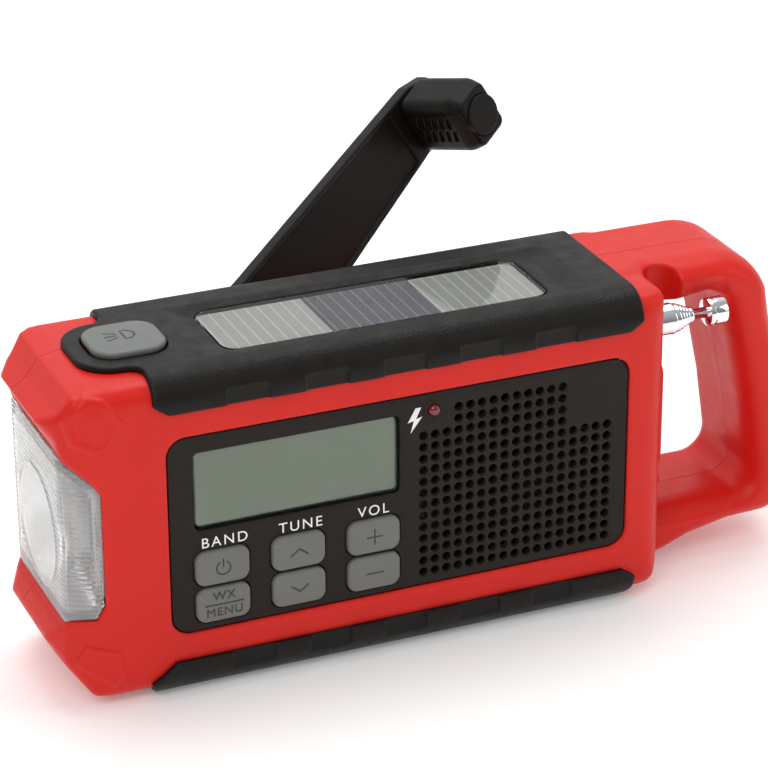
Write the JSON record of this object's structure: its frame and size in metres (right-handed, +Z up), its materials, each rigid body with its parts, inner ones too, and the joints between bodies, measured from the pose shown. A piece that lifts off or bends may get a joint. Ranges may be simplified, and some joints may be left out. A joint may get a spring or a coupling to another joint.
{
  "type": "emergency radio",
  "caption": "Red and black emergency radio with a fold-out hand crank, solar panel, end lamp, side handle, telescopic aerial, display, keys and speaker grille.",
  "frame": {"origin": "centre of the flat underside of the bottom bumper, on the floor", "axes": "+X from the lamp end to the handle end, which is to the viewer's right seen from the front; the front panel faces -Y; +Z up"},
  "size_m": [0.1992, 0.0976, 0.1136],
  "materials": {
    "red_plastic": "semi-gloss moulded red plastic",
    "black_plastic": "fine-textured black plastic",
    "panel_black": "matte warm black plastic",
    "key_grey": "matte grey plastic",
    "clear_plastic": "clear moulded plastic",
    "lcd": "unlit grey-green liquid-crystal display",
    "solar": "dark solar cell",
    "chrome": "bright plating",
    "steel": "plain steel",
    "brass": "plain brass",
    "white_plastic": "white moulded plastic",
    "board": "green circuit board",
    "wrap": "green shrink-wrap",
    "led_red": "translucent red lens"
  },
  "bodies": {
    "housing": {"front_shell": "red_plastic", "rear_shell": "red_plastic", "top_cover": "black_plastic", "bottom_bumper": "black_plastic", "solar_tray": "black_plastic", "battery_tray": "black_plastic", "phones_socket": "black_plastic", "power_socket": "black_plastic", "speaker_cone": "black_plastic", "front_panel": "panel_black", "lcd_window": "clear_plastic", "solar_window": "clear_plastic", "lamp_lens": "clear_plastic", "lcd_module": "lcd", "solar_cell_left": "solar", "solar_cell_middle": "solar", "solar_cell_right": "solar", "lamp_reflector": "chrome", "speaker_frame": "steel", "speaker_magnet": "steel", "usb_socket": "steel", "generator_case": "steel", "gear_plate": "steel", "case_screw_1": "steel", "case_screw_2": "steel", "case_screw_3": "steel", "case_screw_4": "steel", "aerial_sleeve": "brass", "lamp_led": "white_plastic", "lamp_bezel": "white_plastic", "key_board": "board", "main_board": "board", "lamp_switch": "board", "battery_pack": "wrap", "status_led": "led_red"},
    "power_key": {"key_power": "key_grey"},
    "menu_key": {"key_menu": "key_grey"},
    "tune_up_key": {"key_tune_up": "key_grey"},
    "tune_down_key": {"key_tune_down": "key_grey"},
    "volume_up_key": {"key_volume_up": "key_grey"},
    "volume_down_key": {"key_volume_down": "key_grey"},
    "lamp_key": {"lamp_button": "key_grey"},
    "crank": {"crank_hub": "black_plastic", "crank_gear": "white_plastic", "crank_hinge_pin": "steel"},
    "arm": {"crank_arm": "black_plastic", "knob_pin": "steel"},
    "knob": {"crank_knob": "black_plastic"},
    "step_wheel": {"step_gear": "white_plastic"},
    "rotor": {"rotor_pinion": "brass"},
    "aerial_1": {"aerial_tube_1": "chrome"},
    "aerial_2": {"aerial_tube_2": "chrome"},
    "aerial_3": {"aerial_tube_3": "chrome"},
    "aerial_4": {"aerial_tube_4": "chrome"},
    "aerial_5": {"aerial_tube_5": "chrome"},
    "aerial_6": {"aerial_tube_6": "chrome"},
    "aerial_tip": {"aerial_rod": "chrome", "aerial_cap": "chrome"},
    "battery_lid": {"battery_door": "red_plastic"},
    "port_lid": {"port_door": "red_plastic"}
  },
  "joints": [
    {"name": "power_press", "type": "slide", "parent": "housing", "child": "power_key", "axis": [0, 1, 0], "range_m": [0, 0.001], "stiffness_N_per_m": 400, "springref_m": -0.0008},
    {"name": "menu_press", "type": "slide", "parent": "housing", "child": "menu_key", "axis": [0, 1, 0], "range_m": [0, 0.001], "stiffness_N_per_m": 400, "springref_m": -0.0008},
    {"name": "tune_up_press", "type": "slide", "parent": "housing", "child": "tune_up_key", "axis": [0, 1, 0], "range_m": [0, 0.001], "stiffness_N_per_m": 400, "springref_m": -0.0008},
    {"name": "tune_down_press", "type": "slide", "parent": "housing", "child": "tune_down_key", "axis": [0, 1, 0], "range_m": [0, 0.001], "stiffness_N_per_m": 400, "springref_m": -0.0008},
    {"name": "volume_up_press", "type": "slide", "parent": "housing", "child": "volume_up_key", "axis": [0, 1, 0], "range_m": [0, 0.001], "stiffness_N_per_m": 400, "springref_m": -0.0008},
    {"name": "volume_down_press", "type": "slide", "parent": "housing", "child": "volume_down_key", "axis": [0, 1, 0], "range_m": [0, 0.001], "stiffness_N_per_m": 400, "springref_m": -0.0008},
    {"name": "lamp_press", "type": "slide", "parent": "housing", "child": "lamp_key", "axis": [0, 0, -1], "range_m": [0, 0.001], "stiffness_N_per_m": 500, "springref_m": -0.0008},
    {"name": "crank_spin", "type": "hinge", "parent": "housing", "child": "crank", "pos_m": [-0.0274, 0, 0.0576], "axis": [0, 1, 0], "continuous": true},
    {"name": "step_gear_spin", "type": "hinge", "parent": "housing", "child": "step_wheel", "pos_m": [-0.0466, 0, 0.0576], "axis": [0, 1, 0], "continuous": true},
    {"name": "rotor_spin", "type": "hinge", "parent": "housing", "child": "rotor", "pos_m": [-0.05157, 0, 0.03905], "axis": [0, 1, 0], "continuous": true},
    {"name": "arm_fold", "type": "hinge", "parent": "crank", "child": "arm", "pos_m": [-0.0274, 0.0262, 0.0576], "axis": [-0.515, 0, 0.8572], "range_deg": [-27.3, 152.7]},
    {"name": "knob_spin", "type": "hinge", "parent": "arm", "child": "knob", "pos_m": [0.04268, 0.0684, 0.09971], "axis": [0.3931, -0.8886, 0.2362], "continuous": true},
    {"name": "aerial_pull_1", "type": "slide", "parent": "housing", "child": "aerial_1", "axis": [1, 0, 0], "range_m": [0, 0.062]},
    {"name": "aerial_pull_2", "type": "slide", "parent": "aerial_1", "child": "aerial_2", "axis": [1, 0, 0], "range_m": [0, 0.068]},
    {"name": "aerial_pull_3", "type": "slide", "parent": "aerial_2", "child": "aerial_3", "axis": [1, 0, 0], "range_m": [0, 0.068]},
    {"name": "aerial_pull_4", "type": "slide", "parent": "aerial_3", "child": "aerial_4", "axis": [1, 0, 0], "range_m": [0, 0.068]},
    {"name": "aerial_pull_5", "type": "slide", "parent": "aerial_4", "child": "aerial_5", "axis": [1, 0, 0], "range_m": [0, 0.068]},
    {"name": "aerial_pull_6", "type": "slide", "parent": "aerial_5", "child": "aerial_6", "axis": [1, 0, 0], "range_m": [0, 0.068]},
    {"name": "aerial_pull_7", "type": "slide", "parent": "aerial_6", "child": "aerial_tip", "axis": [1, 0, 0], "range_m": [0, 0.068]},
    {"name": "battery_door_open", "type": "hinge", "parent": "housing", "child": "battery_lid", "pos_m": [0.013, 0.0213, 0.0121], "axis": [-1, 0, 0], "range_deg": [0, 95]},
    {"name": "port_door_open", "type": "hinge", "parent": "housing", "child": "port_lid", "pos_m": [0.0725, 0.006, 0.041], "axis": [0, 0, 1], "range_deg": [0, 100]}
  ],
  "couplings": [
    {"joint": "step_gear_spin", "follows": "crank_spin", "ratio": -3},
    {"joint": "rotor_spin", "follows": "crank_spin", "ratio": 9}
  ]
}
